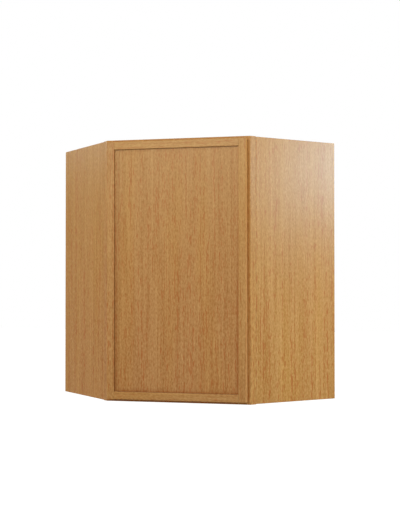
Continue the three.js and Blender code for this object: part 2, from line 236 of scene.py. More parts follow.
X, Y, Z = (1.0, 0.0, 0.0), (0.0, 1.0, 0.0), (0.0, 0.0, 1.0)

# The third direction is the one that a shape is swept along
UPRIGHT = Basis(X, Y, Z)
LEVEL = Basis(Y, Z, X)
INWARD = Basis(Z, X, Y)

# Grain: across the board, through its thickness, and along the fibres
UPRIGHT_GRAIN = Basis(X, Y, Z)
LEVEL_GRAIN = Basis(Z, Y, X)
FLAT_GRAIN = Basis(Y, Z, X)


def facing(outward: Point) -> Basis:
    """Gives the basis whose third direction is a level one and whose first is up."""
    return Basis(Z, tuple(np.cross(outward, Z)), outward)


def mesh_points(mesh: Mesh) -> np.ndarray:
    """Reads a mesh's points.

    Args:
        mesh: The mesh.

    Returns:
        One row of x, y and z for each point.
    """
    flat = np.empty(3 * len(mesh.vertices), np.float32)
    mesh.vertices.foreach_get("co", flat)
    return flat.reshape(-1, 3).astype(float)


def node_points(node: str) -> np.ndarray:
    """Reads the points of a CAD solid, one row for each."""
    return mesh_points(frame["nodes"][node].data)


def turns(way_in: np.ndarray, way_out: np.ndarray) -> np.ndarray:
    """Measures how far each flat direction turns to the left into the next, in radians."""
    cross = way_in[:, 0] * way_out[:, 1] - way_in[:, 1] * way_out[:, 0]
    return np.arctan2(cross, np.sum(way_in * way_out, axis=1))


def hull_outline(points: np.ndarray, least_turn: float = 0.03, decimals: int = 6) -> np.ndarray:
    """Finds the convex outline of flat points, with its real corners only.

    Args:
        points: One row of two coordinates for each point.
        least_turn: Corners that turn by less than this, in radians, are left out.
        decimals: How many decimals of the coordinates are kept.

    Returns:
        The corners in counter-clockwise order.
    """
    rounded = np.unique(np.round(points, decimals), axis=0)
    hull = rounded[convex_hull_2d([tuple(p) for p in rounded])]
    area = np.sum(hull[:, 0] * np.roll(hull[:, 1], -1) - np.roll(hull[:, 0], -1) * hull[:, 1])
    hull = hull if area > 0 else hull[::-1]
    return hull[turns(hull - np.roll(hull, 1, axis=0), np.roll(hull, -1, axis=0) - hull) > least_turn]


def rounded_outline(
    corners: np.ndarray, radii: np.ndarray, steps: int
) -> tuple[np.ndarray, np.ndarray]:
    """Rounds each corner of a closed outline with an arc.

    An arc of radius r touches both edges at r * tan(turn / 2) from the corner. Its centre lies r to the
    inside of the first touching point, and its points follow by turning the first radius about it.

    Args:
        corners: The outline's corners, counter-clockwise, one row each.
        radii: One radius for each corner.
        steps: Number of straight pieces in each arc.

    Returns:
        The rounded outline's points and its outward normals at them, one row each.
    """
    way_in = corners - np.roll(corners, 1, axis=0)
    way_in /= np.linalg.norm(way_in, axis=1, keepdims=True)
    turn = turns(way_in, np.roll(way_in, -1, axis=0))
    reach = np.sign(turn) * radii
    touch = corners - way_in * (radii * np.tan(np.abs(turn) / 2))[:, None]
    outward = np.stack([way_in[:, 1], -way_in[:, 0]], axis=1)
    centre = touch - outward * reach[:, None]
    angle = turn[:, None] * np.linspace(0, 1, steps + 1)[None, :]
    a, b, cosine, sine = outward[:, None, 0], outward[:, None, 1], np.cos(angle), np.sin(angle)
    turned = np.stack([a * cosine - b * sine, a * sine + b * cosine], axis=2)
    points = centre[:, None, :] + turned * reach[:, None, None]
    return points.reshape(-1, 2), turned.reshape(-1, 2)


def grid_faces(rows: int, columns: int) -> list[tuple[int, ...]]:
    """Numbers the faces of closed rings that are stacked up, with a flat cap on the first and last.

    Args:
        rows: Number of rings.
        columns: Points in each ring, counter-clockwise seen from the last ring.

    Returns:
        The faces, each a tuple of point numbers.
    """
    row, column = np.meshgrid(np.arange(rows - 1), np.arange(columns), indexing="ij")
    here = row * columns + column
    beside = row * columns + (column + 1) % columns
    quads = np.stack([here, beside, beside + columns, here + columns], axis=2).reshape(-1, 4)
    first_cap = tuple(range(columns - 1, -1, -1))
    last_cap = tuple(range((rows - 1) * columns, rows * columns))
    return [*map(tuple, quads.tolist()), first_cap, last_cap]


@dataclass(frozen=True)
class Shape:
    """Points and faces of one closed body."""

    points: np.ndarray
    faces: list[tuple[int, ...]]

    def joined(self, other: "Shape") -> "Shape":
        """Gives both bodies as one.

        Args:
            other: The second body.

        Returns:
            The two of them.
        """
        start = len(self.points)
        moved = [tuple(i + start for i in face) for face in other.faces]
        return Shape(np.vstack([self.points, other.points]), self.faces + moved)


def lofted(rings: np.ndarray, levels: np.ndarray, sweep: Basis) -> Shape:
    """Joins flat rings of points into one body.

    Args:
        rings: Rings by points by two, in the first two directions of the basis.
        levels: One place along the third direction for each ring, or for each point of each ring.
        sweep: The basis.

    Returns:
        The closed body.
    """
    spread = np.broadcast_to(levels.reshape(len(rings), -1), rings.shape[:2])
    points = np.dstack([rings, spread]).reshape(-1, 3)
    return Shape(sweep.out_of(points), grid_faces(*rings.shape[:2]))


def prism(
    corners: np.ndarray,
    ends: tuple[float, float],
    sweep: Basis,
    corner_radii: np.ndarray,
    rim: float,
    corner_steps: int = 4,
    rim_steps: int = 3,
) -> Shape:
    """Carries a rounded outline along the third direction of a basis, with quarter-round rims.

    On a rim of radius r, at the angle t from 0 on the end face to a quarter turn on the side, the outline
    is drawn in by r * (1 - sin t) and stands r * (1 - cos t) from the end.

    Args:
        corners: The outline's corners in the first two directions, counter-clockwise.
        ends: Where the prism starts and stops along the third direction.
        sweep: The basis.
        corner_radii: The radius at each corner of the outline, at least the rim's at convex ones.
        rim: The radius of the rims.
        corner_steps: Straight pieces in each corner's arc.
        rim_steps: Straight pieces in each rim's arc.

    Returns:
        The closed body.
    """
    outline, normals = rounded_outline(corners, corner_radii, corner_steps)
    t = np.linspace(0, QUARTER_TURN, rim_steps + 1)
    drawn_in, height = rim * (1 - np.sin(t)), rim * (1 - np.cos(t))
    inset = np.concatenate([drawn_in, drawn_in[::-1]])
    level = np.concatenate([ends[0] + height, ends[1] - height[::-1]])
    rings = outline[None] - normals[None] * inset[:, None, None]
    return lofted(rings, level, sweep)


def circle(sides: int) -> np.ndarray:
    """Gives the points of a circle of radius 1, counter-clockwise, one row each."""
    around = np.linspace(0, 2 * math.pi, sides, endpoint=False)
    return np.stack([np.cos(around), np.sin(around)], axis=1)


def drum(
    centre: Sequence[float], axis: Basis, ends: tuple[float, float], radius: float, sides: int
) -> Shape:
    """Makes a plain round cutter.

    Args:
        centre: A point on its axis.
        axis: A basis whose third direction is the axis.
        ends: Where it starts and stops along the axis, from the centre.
        radius: Its radius.
        sides: Number of flats round it.

    Returns:
        The closed body.
    """
    made = lofted(np.stack([radius * circle(sides)] * 2), np.array(ends), axis)
    return Shape(made.points + np.array(centre), made.faces)


def rectangle(low: Sequence[float], high: Sequence[float]) -> np.ndarray:
    """Gives the corners of a rectangle, counter-clockwise from the lowest."""
    return np.array([[low[0], low[1]], [high[0], low[1]], [high[0], high[1]], [low[0], high[1]]])


def slab(low: Sequence[float], high: Sequence[float], basis: Basis = UPRIGHT) -> Shape:
    """Makes a plain rectangular block between two corners that are given in a basis."""
    return lofted(np.stack([rectangle(low, high)] * 2), np.array([low[2], high[2]]), basis)


def screw_hole(
    screw: str, axis: Basis, gap: float = 0.15 * MM, tip: float = 1 * MM, sides: int = 16
) -> Shape:
    """Makes the cutter for a screw's hole, from the screw's own place.

    Args:
        screw: The screw's node.
        axis: A basis whose third direction runs from the screw's point to its head.
        gap: How much wider than the shank the hole is.
        tip: The length at the screw's point that its width is measured on.
        sides: Number of flats round it.

    Returns:
        The cutter.
    """
    points = axis.into(node_points(screw))
    low, high = points.min(axis=0), points.max(axis=0)
    shank = points[points[:, 2] < low[2] + tip]
    radius = np.ptp(shank[:, 0]) / 2 + gap
    half = (high[2] - low[2]) / 2
    return drum(axis.out_of((low + high) / 2), axis, (-half - 2 * gap, half), radius, sides)


@contextmanager
def edited(mesh: Mesh) -> Iterator[bmesh.types.BMesh]:
    """Opens a mesh for bmesh operations and puts the result back.

    Args:
        mesh: The mesh.

    Yields:
        What is worked on.
    """
    editing = bmesh.new()
    editing.from_mesh(mesh)
    yield editing
    editing.to_mesh(mesh)
    editing.free()


def piece_name(node: str) -> str:
    """Gives the name of the piece that stands for a solid."""
    return node.replace("_", "-")


def linked(name: str, data: bpy.types.ID) -> bpy.types.Object:
    """Makes an object at the origin and links it to the scene.

    Args:
        name: The object's name.
        data: What it shows.

    Returns:
        The object.
    """
    made = bpy.data.objects.new(name, data)
    bpy.context.scene.collection.objects.link(made)
    return made


def new_object(name: str, shape: Shape, merging: float = 0.001 * MM) -> bpy.types.Object:
    """Puts a shape into a mesh object at the origin, with the points that fall together merged.

    Args:
        name: The object's name.
        shape: What it holds.
        merging: Points that are closer than this are merged.

    Returns:
        The object, linked to the scene.
    """
    mesh = bpy.data.meshes.new(name)
    mesh.from_pydata(shape.points.astype(np.float32).tolist(), [], shape.faces)
    with edited(mesh) as editing:
        bmesh.ops.remove_doubles(editing, verts=editing.verts, dist=merging)
        bmesh.ops.recalc_face_normals(editing, faces=editing.faces)
    return linked(name, mesh)


def work(made: bpy.types.Object, joinery: Joinery, shape: Shape) -> None:
    """Adds a shape to an object, or cuts it away, for good.

    Args:
        made: The object.
        joinery: What the shape does to it.
        shape: One or more closed bodies that don't touch each other.
    """
    tool = new_object(f"{made.name}_tool", shape)
    cut = made.modifiers.new("joinery", "BOOLEAN")
    cut.operation = joinery.value
    cut.solver = "EXACT"
    cut.object = tool
    bpy.context.view_layer.update()
    evaluated = made.evaluated_get(bpy.context.evaluated_depsgraph_get())
    finished = bpy.data.meshes.new_from_object(evaluated)
    made.modifiers.clear()
    made.data = finished
    finished.name = made.name
    bpy.data.objects.remove(tool)


def settle(made: bpy.types.Object, dress: Dress, node: str, sharp_degrees: float = 40.0) -> None:
    """Shades a finished piece, gives it its material and body, and hides the solid that it stands for.

    Rounded edges are shaded smoothly and the broad faces stay flat.

    Args:
        made: The piece.
        dress: Its body, slot and material.
        node: The solid that it replaces.
        sharp_degrees: Edges that turn by more than this stay sharp.
    """
    made.data.shade_smooth()
    made.data.set_sharp_from_angle(angle=math.radians(sharp_degrees))
    weighting = made.modifiers.new("flat_faces", "WEIGHTED_NORMAL")
    weighting.keep_sharp = True
    weighting.weight = 100
    made.data.materials.clear()
    made.data.materials.append(dress.material)
    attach(made, dress.body.value)
    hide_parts(node)
    log.info("%s rides on %s, %d points", made.name, dress.body.value, len(made.data.vertices))


# ------------------------------ finishes


class Canvas:
    """The node tree of a material or of the world, filled from its start to its output."""

    def __init__(self, owner: Material | World) -> None:
        """Empties the owner's node tree.

        Args:
            owner: The material or the world.
        """
        owner.use_nodes = True
        self.owner = owner
        self.tree = owner.node_tree
        self.tree.nodes.clear()

    @classmethod
    def of_material(cls, name: str) -> "Canvas":
        """Makes a new material's canvas."""
        return cls(bpy.data.materials.new(name))

    def add(self, kind: str, inputs: dict | None = None, **settings: object) -> bpy.types.Node:
        """Adds a node.

        Args:
            kind: Its type, without the word ShaderNode.
            inputs: Sockets by name or number, each with a value or with the socket that feeds it.
            **settings: The node's own settings.

        Returns:
            The node.
        """
        node = self.tree.nodes.new(f"ShaderNode{kind}")
        for key, value in settings.items():
            setattr(node, key, value)
        for key, value in (inputs or {}).items():
            if isinstance(value, Socket):
                self.tree.links.new(value, node.inputs[key])
            else:
                node.inputs[key].default_value = value
        return node

    def attribute(self, name: str) -> bpy.types.Node:
        """Reads one of the mesh's own attributes."""
        return self.add("Attribute", attribute_name=name)

    def place(self) -> Socket:
        """Reads the point's place in the model's frame."""
        return self.add("TexCoord").outputs["Object"]

    def parts(self, vector: Socket) -> list[Socket]:
        """Splits a vector into its three parts."""
        return list(self.add("SeparateXYZ", {0: vector}).outputs)

    def noise(
        self, vector: Socket, per_metre: Point, detail: float = 2.0, roughness: float = 0.55
    ) -> Socket:
        """Noise with its own frequency in each direction.

        Args:
            vector: The coordinates, in metres.
            per_metre: Features per metre across, through and along the fibres.
            detail: Number of finer layers.
            roughness: How strong each finer layer is beside the one before.

        Returns:
            A value that lies round one half.
        """
        scaled = self.vectors("MULTIPLY", vector, per_metre)
        look = {"Vector": scaled, "Scale": 1.0, "Detail": detail, "Roughness": roughness}
        return self.add("TexNoise", look).outputs[0]

    def vectors(self, operation: str, *values: object) -> Socket:
        """Combines vectors or sockets with one vector operation."""
        return self.add("VectorMath", dict(enumerate(values)), operation=operation).outputs[0]

    def math(self, operation: str, *values: object) -> Socket:
        """Combines numbers or sockets with one arithmetic operation."""
        return self.add("Math", dict(enumerate(values)), operation=operation).outputs[0]

    def ramp(self, value: Socket, *stops: tuple[float, Colour]) -> Socket:
        """Turns a value into a colour.

        Args:
            value: The value.
            *stops: Places from 0 to 1, each with its colour.

        Returns:
            The colour.
        """
        node = self.add("ValToRGB", {0: value})
        elements = node.color_ramp.elements
        elements[0].position, elements[0].color = stops[0]
        elements[1].position, elements[1].color = stops[-1]
        for place, colour in stops[1:-1]:
            elements.new(place).color = colour
        return node.outputs[0]

    def between(self, value: Socket, low: float, high: float) -> Socket:
        """A soft step from 0 at low to 1 at high."""
        span = {"Value": value, "From Min": low, "From Max": high}
        return self.add("MapRange", span, interpolation_type="SMOOTHSTEP").outputs[0]

    def blend(self, share: object, first: object, second: object, way: str = "MIX") -> Socket:
        """Mixes two colours.

        Args:
            share: How much of the second shows.
            first: The colour below.
            second: The colour above.
            way: The blend type.

        Returns:
            The mixed colour.
        """
        inputs = {0: share, 6: first, 7: second}
        return self.add("Mix", inputs, data_type="RGBA", blend_type=way).outputs[2]

    def bump(self, height: Socket, strength: float, depth: float) -> Socket:
        """Gives the normals of a relief whose full height, in metres, is the depth."""
        return self.add("Bump", {"Strength": strength, "Distance": depth, "Height": height}).outputs[0]

    def finish(self, kind: str, inputs: dict) -> Material | World:
        """Adds the last shader and links it to the output.

        Args:
            kind: The shader's type, without the word ShaderNode.
            inputs: Its sockets, as for any node.

        Returns:
            The material or the world.
        """
        output = "OutputWorld" if isinstance(self.owner, World) else "OutputMaterial"
        self.add(output, {"Surface": self.add(kind, inputs).outputs[0]})
        return self.owner


@dataclass(frozen=True)
class GrainLayer:
    """One scale of figure in the wood: how strong it is, and its features per metre."""

    strength: float
    per_metre: Point
    detail: float = 2.0


@dataclass(frozen=True)
class Peaks:
    """Places where a noise stands out: its features per metre, and the levels of a peak's foot and top."""

    per_metre: Point
    foot: float
    top: float
    detail: float = 1.0

    def noise(self, canvas: Canvas, vector: Socket) -> Socket:
        """Lays the noise on the coordinates."""
        return canvas.noise(vector, self.per_metre, self.detail)

    def share(self, canvas: Canvas, level: Socket, strength: float) -> Socket:
        """Turns the noise's level into a share, from 0 at the foot to the strength at the top."""
        return canvas.math("MULTIPLY", canvas.between(level, self.foot, self.top), strength)


@dataclass(frozen=True)
class Stain:
    """Painted shade that darkens the colour along a line: how far it reaches and how strong it is on the
    line.

    The strength is the one half way up; the foot is the share by which it grows down to the lower edge.
    """

    reach: float
    strength: float
    foot: float = 0.0


@dataclass(frozen=True)
class ShadedNook:
    """An upright rectangle along whose outline shade is painted into the colour, such as the edge of a
    recess.

    The depth weight is how many times the distance in front of and behind the rectangle counts.
    """

    low: Point
    high: Point
    stains: tuple[Stain, ...]
    # The colour that the painted shade multiplies the wood by
    tint: Colour = srgb("b98a52")
    depth_weight: float = 3.0


@dataclass(frozen=True)
class OakFinish:
    """Clear-coated oak: broad bands, growth lines, fibres, flecks and open pores along the grain.

    The figure is bolder and the wood a little redder and darker towards the foot of the cabinet: painted
    shade.
    """

    name: str
    light: Colour = srgb("cba266")
    middle: Colour = srgb("b18347")
    dark: Colour = srgb("905a23")
    blush: Colour = srgb("a65a2a")
    gilt: Colour = (1.02, 1.0, 0.80, 1.0)
    pore: Colour = srgb("7c4a1e")
    tones: Point = (0.2, 0.5, 0.8)
    layers: tuple[GrainLayer, ...] = (
        GrainLayer(0.14, (14.0, 14.0, 0.5)),
        GrainLayer(0.13, (90.0, 60.0, 1.5)),
        GrainLayer(0.26, (210.0, 130.0, 4.0), 1.0),
        GrainLayer(0.42, (260.0, 170.0, 115.0), 1.0),
        GrainLayer(0.20, (1300.0, 800.0, 20.0), 1.0),
    )
    wander: float = 12 * MM
    wandering: Point = (7.0, 7.0, 1.6)
    gilding: Peaks = Peaks((13.0, 13.0, 1.3), 0.40, 0.66, 2.0)
    gilt_strength: float = 0.5
    chains: Point = (210.0, 140.0, 2.0)
    chained: float = 0.8
    dashes: Peaks = Peaks((360.0, 240.0, 42.0), 0.57, 0.73)
    blush_strength: float = 0.50
    pores: Peaks = Peaks((1100.0, 700.0, 60.0), 0.60, 0.72)
    pore_strength: float = 0.35
    pore_depth: float = 0.6
    contrast: float = 0.9
    # Painted shade: the figure grows bolder and the wood redder towards the foot
    bolder: float = 0.35
    height: float = 0.762
    foot_tint: Colour = (1.0, 0.94, 1.0, 1.0)
    pale_tone: float = 0.09
    roughness: float = 0.30
    polish: float = 0.04
    gloss: float = 0.03
    relief: float = 0.15
    relief_depth: float = 0.15 * MM
    nook: ShadedNook | None = None

    def wood(self, canvas: Canvas) -> tuple[Socket, Socket]:
        """Lays the grain on the mesh's own grain coordinates.

        The fibres wander a little sideways with height. The tone is one half, plus the board's own tone,
        plus each layer's noise about its mean times that layer's strength, and a ramp turns it into colour.
        The contrast and the redness grow with a soft step from the top of the cabinet to its foot, which is
        painted shade; a board of the lit board tone, paler for painted light, doesn't redden. Golden bands
        and chains of short red-brown dashes lie over it, and pores are the peaks of a very long, thin noise.

        Args:
            canvas: Where the nodes go.

        Returns:
            The colour, and the tone that the relief follows.
        """
        grain = canvas.attribute("grain").outputs["Vector"]
        sideways = canvas.noise(grain, self.wandering)
        shift = canvas.math("MULTIPLY_ADD", sideways, self.wander, -self.wander / 2)
        fibres = canvas.vectors("ADD", grain, canvas.add("CombineXYZ", {0: shift}).outputs[0])
        low_down = canvas.between(canvas.parts(canvas.place())[2], self.height, 0.0)
        contrast = canvas.math("MULTIPLY_ADD", low_down, self.bolder, self.contrast)
        figure = 0.0
        for layer in self.layers:
            level = canvas.math("SUBTRACT", canvas.noise(fibres, layer.per_metre, layer.detail), 0.5)
            figure = canvas.math("MULTIPLY_ADD", level, layer.strength, figure)
        own_tone = canvas.attribute("tone").outputs["Fac"]
        tone = canvas.math("MULTIPLY_ADD", figure, contrast, canvas.math("ADD", own_tone, 0.5))
        colour = canvas.ramp(tone, *zip(self.tones, (self.dark, self.middle, self.light)))
        # Painted shade towards the foot, left off the paler, lit boards
        foot_shade = canvas.math("MULTIPLY_ADD", own_tone, -1 / self.pale_tone, 1.0)
        foot_shade = canvas.math("MULTIPLY", low_down, foot_shade)
        colour = canvas.blend(foot_shade, colour, self.foot_tint, "MULTIPLY")
        gilded = self.gilding.share(canvas, self.gilding.noise(canvas, fibres), self.gilt_strength)
        colour = canvas.blend(gilded, colour, self.gilt, "MULTIPLY")
        chains = canvas.noise(fibres, self.chains, 1.0)
        reddening = canvas.math("MULTIPLY_ADD", chains, self.chained, self.dashes.noise(canvas, fibres))
        reddening = canvas.math("SUBTRACT", reddening, self.chained / 2)
        reddish = self.dashes.share(canvas, reddening, self.blush_strength)
        colour = canvas.blend(canvas.math("MULTIPLY", reddish, contrast), colour, self.blush)
        open_pores = self.pores.share(canvas, self.pores.noise(canvas, fibres), self.pore_strength)
        colour = canvas.blend(open_pores, colour, self.pore)
        return colour, canvas.math("SUBTRACT", tone, canvas.math("MULTIPLY", open_pores, self.pore_depth))

    def gathered(self, canvas: Canvas, colour: Socket) -> Socket:
        """Paints shade into the wood's colour towards the rectangle's outline.

        The distance to the line is the square root of two squares: how far the point lies in front of or
        behind the rectangle, counted several times, and how far it is from the rectangle's outline, which
        is the larger of its overhangs past the half width and the half height. Each band of painted shade
        fades with the square of it.

        Args:
            canvas: Where the nodes go.
            colour: The wood's colour.

        Returns:
            The colour with the shade painted in.
        """
        low, high = np.array(self.nook.low), np.array(self.nook.high)
        half = (high - low) / 2
        apart = canvas.parts(canvas.vectors("SUBTRACT", canvas.place(), tuple((low + high) / 2)))
        sideways = canvas.math("SUBTRACT", canvas.math("ABSOLUTE", apart[0]), half[0])
        upwards = canvas.math("SUBTRACT", canvas.math("ABSOLUTE", apart[2]), half[2])
        overhang = canvas.math("MAXIMUM", sideways, upwards)
        depth = canvas.math("MULTIPLY", apart[1], self.nook.depth_weight)
        squares = (canvas.math("POWER", distance, 2.0) for distance in (overhang, depth))
        squared = canvas.math("ADD", *squares)
        # Painted shade: each band darkens the colour near the outline, more towards the foot
        share = 0.0
        for painted_band in self.nook.stains:
            shade_fade = canvas.math("EXPONENT", canvas.math("MULTIPLY", squared, -1 / painted_band.reach**2))
            uneven = -painted_band.foot * painted_band.strength / half[2]
            strength = canvas.math("MULTIPLY_ADD", apart[2], uneven, painted_band.strength)
            share = canvas.math("MULTIPLY_ADD", shade_fade, strength, share)
        return canvas.blend(share, colour, self.nook.tint, "MULTIPLY")

    def varnished(self, canvas: Canvas, colour: Socket, relief: Socket) -> Material:
        """Seals a wood colour under a satin varnish.

        Args:
            canvas: Where the nodes go.
            colour: The wood's colour.
            relief: Its height, from 0 to 1.

        Returns:
            The finished material.
        """
        rough = canvas.math("MULTIPLY_ADD", relief, -self.polish, self.roughness + self.polish / 2)
        look = {
            "Base Color": self.gathered(canvas, colour) if self.nook else colour,
            "Roughness": rough,
            "Specular IOR Level": self.gloss,
            "Normal": canvas.bump(relief, self.relief, self.relief_depth),
        }
        return canvas.finish("BsdfPrincipled", look)

    def material(self) -> Material:
        """Makes the material for solid wood."""
        canvas = Canvas.of_material(self.name)
        return self.varnished(canvas, *self.wood(canvas))


@dataclass(frozen=True)
class PlywoodFinish:
    """Plywood: a face veneer, an inner face veneer, and plies that show wherever the edge is cut."""

    name: str
    face: OakFinish
    inner: OakFinish
    edge: OakFinish
    plies: int = 7
    veneer: float = 0.06
    ply_edge: float = 0.15
    crossband_share: float = 0.55

    def material(self) -> Material:
        """Makes the material; the mesh's "ply" attribute runs from 0 inside to 1 at the face.

        Returns:
            The material.
        """
        canvas = Canvas.of_material(self.name)
        depth = canvas.attribute("ply").outputs["Fac"]
        face, face_relief = self.face.wood(canvas)
        inner, inner_relief = self.inner.wood(canvas)
        core, _ = self.edge.wood(canvas)
        wave = canvas.math("SINE", canvas.math("MULTIPLY", depth, self.plies * math.pi))
        crossband = canvas.between(wave, -self.ply_edge, self.ply_edge)
        darker = canvas.blend(self.crossband_share, core, self.edge.pore, "MULTIPLY")
        core = canvas.blend(crossband, darker, core)
        on_face = canvas.between(depth, 1 - self.veneer, 1 - self.veneer / 2)
        on_inside = canvas.between(depth, self.veneer, self.veneer / 2)
        colour = canvas.blend(on_inside, canvas.blend(on_face, core, face), inner)
        relief = canvas.add("Mix", {0: on_face, 2: inner_relief, 3: face_relief}).outputs[0]
        return self.face.varnished(canvas, colour, relief)


@dataclass(frozen=True)
class PlatedSteelFinish:
    """Nickel-plated steel with a fine satin and a very little dulling."""

    name: str
    colour: Colour = srgb("c9c8c4")
    dull: Colour = srgb("bcbbb6")
    dulling: Peaks = Peaks((220.0, 220.0, 220.0), 0.4, 0.7, 3.0)
    satin: Point = (9000.0, 1500.0, 1500.0)
    satin_strength: float = 0.05
    satin_depth: float = 0.02 * MM
    roughness: float = 0.27
    unevenness: float = 0.06

    def material(self) -> Material:
        """Makes the material.

        Returns:
            The material.
        """
        canvas = Canvas.of_material(self.name)
        place = canvas.place()
        clouds = self.dulling.noise(canvas, place)
        satin = canvas.noise(place, self.satin, 1.0)
        share = self.dulling.share(canvas, clouds, 1.0)
        least = self.roughness - self.unevenness / 2
        look = {
            "Base Color": canvas.blend(share, self.colour, self.dull),
            "Metallic": 1.0,
            "Roughness": canvas.math("MULTIPLY_ADD", clouds, self.unevenness, least),
            "Normal": canvas.bump(satin, self.satin_strength, self.satin_depth),
        }
        return canvas.finish("BsdfPrincipled", look)


@dataclass(frozen=True)
class SoftPlasticFinish:
    """Milky soft plastic, with light passing a little way in."""

    name: str
    colour: Colour = srgb("e2e0d8")
    shade: Colour = srgb("d3d0c6")
    clouds: Point = (400.0, 400.0, 400.0)
    roughness: float = 0.35
    unevenness: float = 0.2
    depth: Point = (1.5 * MM, 1.5 * MM, 1.2 * MM)
    depth_share: float = 0.3

    def material(self) -> Material:
        """Makes the material.

        Returns:
            The material.
        """
        canvas = Canvas.of_material(self.name)
        clouds = canvas.noise(canvas.place(), self.clouds)
        look = {
            "Base Color": canvas.blend(clouds, self.colour, self.shade),
            "Roughness": canvas.math("MULTIPLY_ADD", clouds, self.unevenness, self.roughness),
            "Subsurface Weight": self.depth_share,
            "Subsurface Radius": self.depth,
        }
        return canvas.finish("BsdfPrincipled", look)


def panel_nook() -> ShadedNook:
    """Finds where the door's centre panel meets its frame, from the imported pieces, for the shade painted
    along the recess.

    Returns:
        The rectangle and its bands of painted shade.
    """
    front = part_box("door_centre_panel")[0].y
    low = (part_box(HINGE_STILE)[1].x, front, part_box("door_bottom_rail")[1].z)
    high = (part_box(LATCH_STILE)[0].x, front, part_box("door_top_rail")[0].z)
    return ShadedNook(low, high, (Stain(3.5 * MM, 0.12, 1.0), Stain(9 * MM, 0.13, 1.0)))


def reveal_nook() -> ShadedNook:
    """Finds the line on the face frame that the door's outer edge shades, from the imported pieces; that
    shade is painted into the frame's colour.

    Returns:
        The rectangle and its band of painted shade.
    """
    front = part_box("frame_top_rail")[0].y
    low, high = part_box(HINGE_STILE)[0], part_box(LATCH_STILE)[1]
    return ShadedNook((low.x, front, low.z), (high.x, front, high.z), (Stain(5 * MM, 0.45),), srgb("faca9e"))


@dataclass(frozen=True)
class Finishes:
    """Every dress of the cabinet, made once."""

    frame_oak: Dress
    door_oak: Dress
    side_plywood: Dress
    box_plywood: Dress
    shelf_plywood: Dress
    fixed_steel: Dress
    moving_steel: Dress
    bumper: Dress

    @classmethod
    def make(cls) -> "Finishes":
        """Makes all the materials.

        Returns:
            The dresses.
        """
        oak = OakFinish("oak", contrast=1.0, roughness=0.36)
        birch = OakFinish(
            "birch",
            light=srgb("ead2a9"),
            middle=srgb("ddbf92"),
            dark=srgb("c6a173"),
            blush=srgb("d3a97a"),
            pore=srgb("ad865a"),
            layers=(
                GrainLayer(0.35, (14.0, 14.0, 0.6)),
                GrainLayer(0.35, (90.0, 60.0, 1.4), 3.0),
                GrainLayer(0.30, (340.0, 200.0, 6.0), 3.0),
                GrainLayer(0.20, (230.0, 150.0, 42.0), 1.0),
                GrainLayer(0.20, (1300.0, 800.0, 24.0), 1.0),
            ),
            pore_strength=0.2,
            blush_strength=0.4,
            gilt_strength=0.0,
            bolder=0.0,
            foot_tint=WHITE,
            roughness=0.5,
        )
        middle = srgb("b1834c")
        # The frame gets shade painted along the door's edge, the door along its panel's recess
        frame_oak = OakFinish("frame_oak", middle=middle, nook=reveal_nook()).material()
        door_oak = OakFinish("door_oak", middle=middle, gloss=0.06, nook=panel_nook()).material()
        side = PlywoodFinish("side_plywood", oak, birch, birch).material()
        box = PlywoodFinish("box_plywood", birch, birch, birch).material()
        shelf = PlywoodFinish("shelf_plywood", birch, birch, birch, plies=9).material()
        steel = PlatedSteelFinish("plated_steel").material()
        return cls(
            frame_oak=Dress(Body.CABINET, Slot.FRAME_OAK, frame_oak),
            door_oak=Dress(Body.DOOR, Slot.DOOR_OAK, door_oak),
            side_plywood=Dress(Body.CABINET, Slot.SIDE_OAK, side),
            box_plywood=Dress(Body.CABINET, Slot.BOX_PLYWOOD, box),
            shelf_plywood=Dress(Body.CABINET, Slot.SHELF_PLYWOOD, shelf),
            fixed_steel=Dress(Body.CABINET, Slot.STEEL, steel),
            moving_steel=Dress(Body.DOOR, Slot.STEEL, steel),
            bumper=Dress(Body.DOOR, Slot.BUMPER, SoftPlasticFinish("bumper_plastic").material()),
        )


# ------------------------------ boards


@dataclass(frozen=True)
class Easing:
    """How far the edges of a board are rounded."""

    corner: float = 1.0 * MM
    rim: float = 0.8 * MM


@dataclass
class Board:
    """A wooden board that stands for one CAD solid, with its edges eased and its grain laid out.

    The tools are cut out of it or added to it, as the joinery says.
    """

    node: str
    dress: Dress
    grain: Basis
    tools: Sequence[Shape] = ()
    tone: float = 0.0
    joinery: Joinery = Joinery.CUT

    # Steps between the places in the wood that two boards are cut from, in metres
    apart: Point = (0.613, 0.271, 2.173)

    def finish(self, shape: Shape) -> None:
        """Makes the piece: works its joints, lays its grain, and shades its edges.

        Args:
            shape: The board before it is worked.
        """
        made = new_object(piece_name(self.node), shape)
        for tool in self.tools:
            work(made, self.joinery, tool)
        self.lay_grain(made.data)
        settle(made, self.dress, self.node)

    def finish_plan(self, easing: Easing) -> None:
        """Makes the piece from its solid's plan outline, which has to be convex, over its full height.

        Args:
            easing: How far the edges are rounded.
        """
        points = node_points(self.node)
        corners = hull_outline(points[:, :2])
        heights = (points[:, 2].min(), points[:, 2].max())
        self.finish(prism(corners, heights, UPRIGHT, np.full(len(corners), easing.corner), easing.rim))

    def lay_grain(self, mesh: Mesh) -> None:
        """Writes the grain coordinates, the depth through the plies and the board's tone to the mesh.

        The grain coordinates are the point's own, turned into the board's basis and moved to the board's
        own place in the wood. The depth is the share of the way through the thickness.

        Args:
            mesh: The board's mesh.
        """
        points = mesh_points(mesh)
        laid = self.grain.into(points) + (1 + BOARDS.index(self.node)) * np.array(self.apart)
        grain = mesh.attributes.new("grain", "FLOAT_VECTOR", "POINT")
        grain.data.foreach_set("vector", laid.astype(np.float32).ravel())
        depth = points @ np.array(self.grain.second)
        share = (depth - depth.min()) / (depth.max() - depth.min())
        for name, values in (("ply", share), ("tone", np.full(len(points), self.tone))):
            layer = mesh.attributes.new(name, "FLOAT", "POINT")
            layer.data.foreach_set("value", values.astype(np.float32))


# ------------------------------ the box


